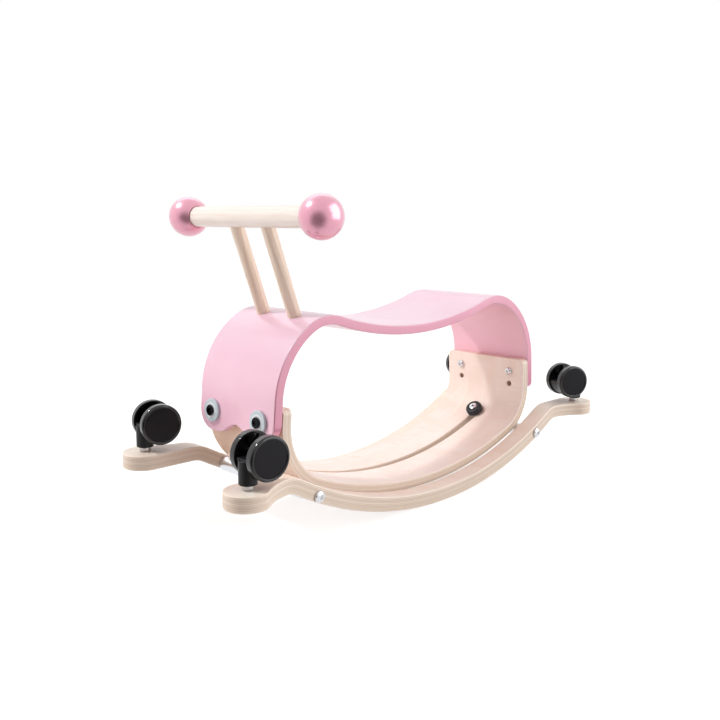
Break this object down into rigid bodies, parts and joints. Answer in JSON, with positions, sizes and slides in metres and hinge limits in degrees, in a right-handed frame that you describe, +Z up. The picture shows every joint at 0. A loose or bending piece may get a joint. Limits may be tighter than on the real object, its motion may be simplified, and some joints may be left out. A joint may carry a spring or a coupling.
{
  "type": "wooden balance rocker",
  "caption": "Low wooden ride-on rocker: pink bent-plywood saddle over curved rails, cross handle with ball ends, and swivel casters on the rail ends.",
  "frame": {"origin": "on the floor under the rails, midway between them and midway along them", "axes": "+X across to the left-hand side, +Y towards the rear, +Z up; the handlebar is at -Y"},
  "size_m": [0.2742, 0.65, 0.3671],
  "materials": {
    "birch_ply": "clear satin lacquer over bent birch plywood, ply lines on the edges",
    "pink_lacquer": "pink satin lacquer on bent plywood, edges painted a deeper pink",
    "pink_gloss": "pink gloss lacquer on turned wood",
    "dowel": "clear satin lacquer on round wood",
    "aluminium": "smooth bright tube",
    "steel": "turned, plain",
    "chrome": "bright plated screw heads",
    "black_nylon": "moulded, semi-gloss, matte wheel caps",
    "black_plastic": "moulded, satin",
    "black_steel": "black oxide socket screw",
    "grey_plastic": "pale grey, smooth"
  },
  "bodies": {
    "frame": {"ball_left": "pink_gloss", "ball_right": "pink_gloss", "caster_stem_front_left": "steel", "caster_stem_front_right": "steel", "caster_stem_rear_left": "steel", "caster_stem_rear_right": "steel", "cradle": "birch_ply", "cross_tube_front": "aluminium", "cross_tube_rear": "aluminium", "eye_screw_left": "black_steel", "eye_screw_right": "black_steel", "eye_washer_left": "grey_plastic", "eye_washer_right": "grey_plastic", "handlebar": "dowel", "post_left": "dowel", "post_right": "dowel", "rail_bolt_front_left": "chrome", "rail_bolt_front_right": "chrome", "rail_bolt_rear_left": "chrome", "rail_bolt_rear_right": "chrome", "rail_left": "birch_ply", "rail_right": "birch_ply", "saddle": "pink_lacquer", "seat_screw_left": "chrome", "seat_screw_right": "chrome"},
    "swivel_front_left": {"caster_housing_front_left": "black_nylon", "caster_axle_front_left": "steel"},
    "wheel_front_left_a": {"caster_wheel_front_left_a": "black_nylon"},
    "wheel_front_left_b": {"caster_wheel_front_left_b": "black_nylon"},
    "swivel_front_right": {"caster_housing_front_right": "black_nylon", "caster_axle_front_right": "steel"},
    "wheel_front_right_a": {"caster_wheel_front_right_a": "black_nylon"},
    "wheel_front_right_b": {"caster_wheel_front_right_b": "black_nylon"},
    "swivel_rear_left": {"caster_housing_rear_left": "black_nylon", "caster_axle_rear_left": "steel"},
    "wheel_rear_left_a": {"caster_wheel_rear_left_a": "black_nylon"},
    "wheel_rear_left_b": {"caster_wheel_rear_left_b": "black_nylon"},
    "swivel_rear_right": {"caster_housing_rear_right": "black_nylon", "caster_axle_rear_right": "steel"},
    "wheel_rear_right_a": {"caster_wheel_rear_right_a": "black_nylon"},
    "wheel_rear_right_b": {"caster_wheel_rear_right_b": "black_nylon"},
    "clamp_front": {"clamp_knob_front": "black_plastic", "clamp_screw_front": "chrome"},
    "clamp_rear": {"clamp_knob_rear": "black_plastic", "clamp_screw_rear": "chrome"}
  },
  "joints": [
    {"name": "swivel_front_left", "type": "hinge", "parent": "frame", "child": "swivel_front_left", "pos_m": [0.095, -0.2995, 0.0877], "axis": [0, 0, 1], "continuous": true},
    {"name": "spin_front_left_a", "type": "hinge", "parent": "swivel_front_left", "child": "wheel_front_left_a", "pos_m": [0.09598, -0.28553, 0.1142], "axis": [0.9976, -0.0698, 0], "continuous": true},
    {"name": "spin_front_left_b", "type": "hinge", "parent": "swivel_front_left", "child": "wheel_front_left_b", "pos_m": [0.09598, -0.28553, 0.1142], "axis": [0.9976, -0.0698, 0], "continuous": true},
    {"name": "swivel_front_right", "type": "hinge", "parent": "frame", "child": "swivel_front_right", "pos_m": [-0.095, -0.2995, 0.0877], "axis": [0, 0, 1], "continuous": true},
    {"name": "spin_front_right_a", "type": "hinge", "parent": "swivel_front_right", "child": "wheel_front_right_a", "pos_m": [-0.09209, -0.28581, 0.1142], "axis": [0.9781, -0.2079, 0], "continuous": true},
    {"name": "spin_front_right_b", "type": "hinge", "parent": "swivel_front_right", "child": "wheel_front_right_b", "pos_m": [-0.09209, -0.28581, 0.1142], "axis": [0.9781, -0.2079, 0], "continuous": true},
    {"name": "swivel_rear_left", "type": "hinge", "parent": "frame", "child": "swivel_rear_left", "pos_m": [0.095, 0.2995, 0.0877], "axis": [0, 0, 1], "continuous": true},
    {"name": "spin_rear_left_a", "type": "hinge", "parent": "swivel_rear_left", "child": "wheel_rear_left_a", "pos_m": [0.08908, 0.28681, 0.1142], "axis": [-0.9063, 0.4226, 0], "continuous": true},
    {"name": "spin_rear_left_b", "type": "hinge", "parent": "swivel_rear_left", "child": "wheel_rear_left_b", "pos_m": [0.08908, 0.28681, 0.1142], "axis": [-0.9063, 0.4226, 0], "continuous": true},
    {"name": "swivel_rear_right", "type": "hinge", "parent": "frame", "child": "swivel_rear_right", "pos_m": [-0.095, 0.2995, 0.0877], "axis": [0, 0, 1], "continuous": true},
    {"name": "spin_rear_right_a", "type": "hinge", "parent": "swivel_rear_right", "child": "wheel_rear_right_a", "pos_m": [-0.10069, 0.28671, 0.1142], "axis": [-0.9135, 0.4067, 0], "continuous": true},
    {"name": "spin_rear_right_b", "type": "hinge", "parent": "swivel_rear_right", "child": "wheel_rear_right_b", "pos_m": [-0.10069, 0.28671, 0.1142], "axis": [-0.9135, 0.4067, 0], "continuous": true},
    {"name": "turn_clamp_front", "type": "hinge", "parent": "frame", "child": "clamp_front", "pos_m": [0, -0.20747, 0.05397], "axis": [0, 0.6225, 0.7826], "range_deg": [0, 360]},
    {"name": "turn_clamp_rear", "type": "hinge", "parent": "frame", "child": "clamp_rear", "pos_m": [0, 0.20138, 0.05161], "axis": [0, -0.6225, 0.7826], "range_deg": [0, 360]}
  ]
}
